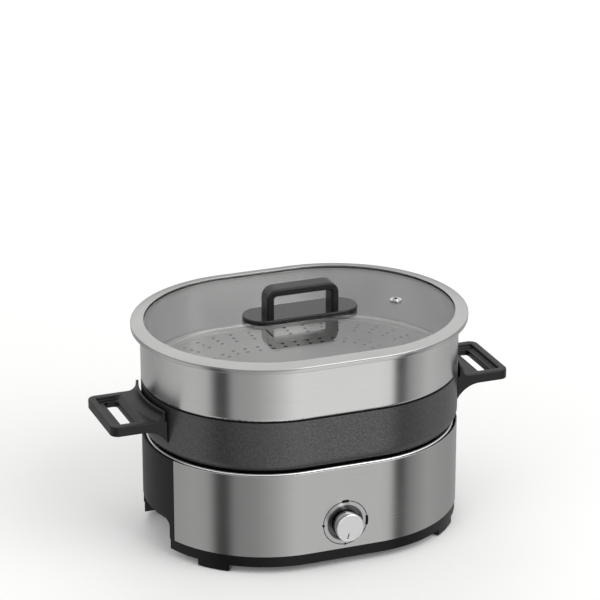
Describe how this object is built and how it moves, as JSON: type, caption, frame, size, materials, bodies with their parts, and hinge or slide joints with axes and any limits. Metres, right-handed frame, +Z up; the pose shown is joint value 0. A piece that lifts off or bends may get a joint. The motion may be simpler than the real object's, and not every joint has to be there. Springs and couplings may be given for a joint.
{
  "type": "electric fondue pot",
  "caption": "Oval electric fondue and hot pot: heating base with a dial, divided cast pot with loop handles, perforated steamer tier and a glass lift-off lid.",
  "frame": {"origin": "middle of the plan, on the table under the feet", "axes": "+X along the length towards the steam vent, -Y towards the dial, +Z up"},
  "size_m": [0.45, 0.289, 0.2693],
  "materials": {
    "brushed_stainless": "brushed along the length",
    "pressed_stainless": "fine satin",
    "bright_steel": "polished",
    "black_moulding": "fine matte grain",
    "foot_rubber": "matte",
    "zinc_sheet": "zinc plated",
    "plated_fastener": "zinc plated",
    "hotplate_casting": "matte dark coating",
    "heater_tube": "heat darkened",
    "phenolic": "moulded",
    "terminal_plastic": "moulded",
    "dark_dish": "satin",
    "knob_chrome": "mirror",
    "knob_satin": "satin turned",
    "spindle_steel": "turned",
    "coated_aluminium": "dark speckled non-stick coating",
    "black_silicone": "matte",
    "clear_silicone": "translucent",
    "lid_glass": "clear"
  },
  "bodies": {
    "base": {"plinth": "black_moulding", "foot_pads": "foot_rubber", "bottom_cover": "zinc_sheet", "bottom_screws": "plated_fastener", "front_panel": "brushed_stainless", "rear_panel": "brushed_stainless", "left_end_panel": "black_moulding", "right_end_panel": "black_moulding", "inner_bowl": "bright_steel", "bowl_screws": "plated_fastener", "left_pot_guide": "bright_steel", "right_pot_guide": "bright_steel", "hotplate": "hotplate_casting", "heating_element": "heater_tube", "heat_shield": "zinc_sheet", "hotplate_bracket": "zinc_sheet", "hotplate_nut": "plated_fastener", "thermostat": "phenolic", "thermal_cutout": "phenolic", "terminal_block": "terminal_plastic", "cord_gland": "black_moulding", "dial_dish": "dark_dish"},
    "knob": {"knob_shaft": "spindle_steel", "knob_body": "knob_chrome", "knob_face": "knob_satin"},
    "pot": {"pot_body": "coated_aluminium", "left_handle": "black_moulding", "right_handle": "black_moulding", "handle_screws": "plated_fastener"},
    "divider": {"divider_plate": "coated_aluminium", "divider_seal": "black_silicone"},
    "steamer": {"steamer_wall": "brushed_stainless", "steamer_floor": "pressed_stainless"},
    "lid": {"lid_rim": "pressed_stainless", "lid_glass": "lid_glass", "lid_gasket": "clear_silicone", "lid_handle_plate": "black_moulding", "lid_handle": "black_moulding", "lid_screws": "plated_fastener", "lid_washers": "black_silicone", "vent_eyelet": "bright_steel"}
  },
  "joints": [
    {"name": "knob_turn", "type": "hinge", "parent": "base", "child": "knob", "pos_m": [0, -0.132, 0.049], "axis": [0, 1, 0], "range_deg": [0, 270]},
    {"name": "pot_lift", "type": "slide", "parent": "base", "child": "pot", "axis": [0, 0, 1], "range_m": [0, 0.072]},
    {"name": "divider_lift", "type": "slide", "parent": "pot", "child": "divider", "axis": [0, 0, 1], "range_m": [0, 0.092]},
    {"name": "steamer_lift", "type": "slide", "parent": "divider", "child": "steamer", "axis": [0, 0, 1], "range_m": [0, 0.008]},
    {"name": "lid_lift", "type": "slide", "parent": "steamer", "child": "lid", "axis": [0, 0, 1], "range_m": [0, 0.094]}
  ]
}
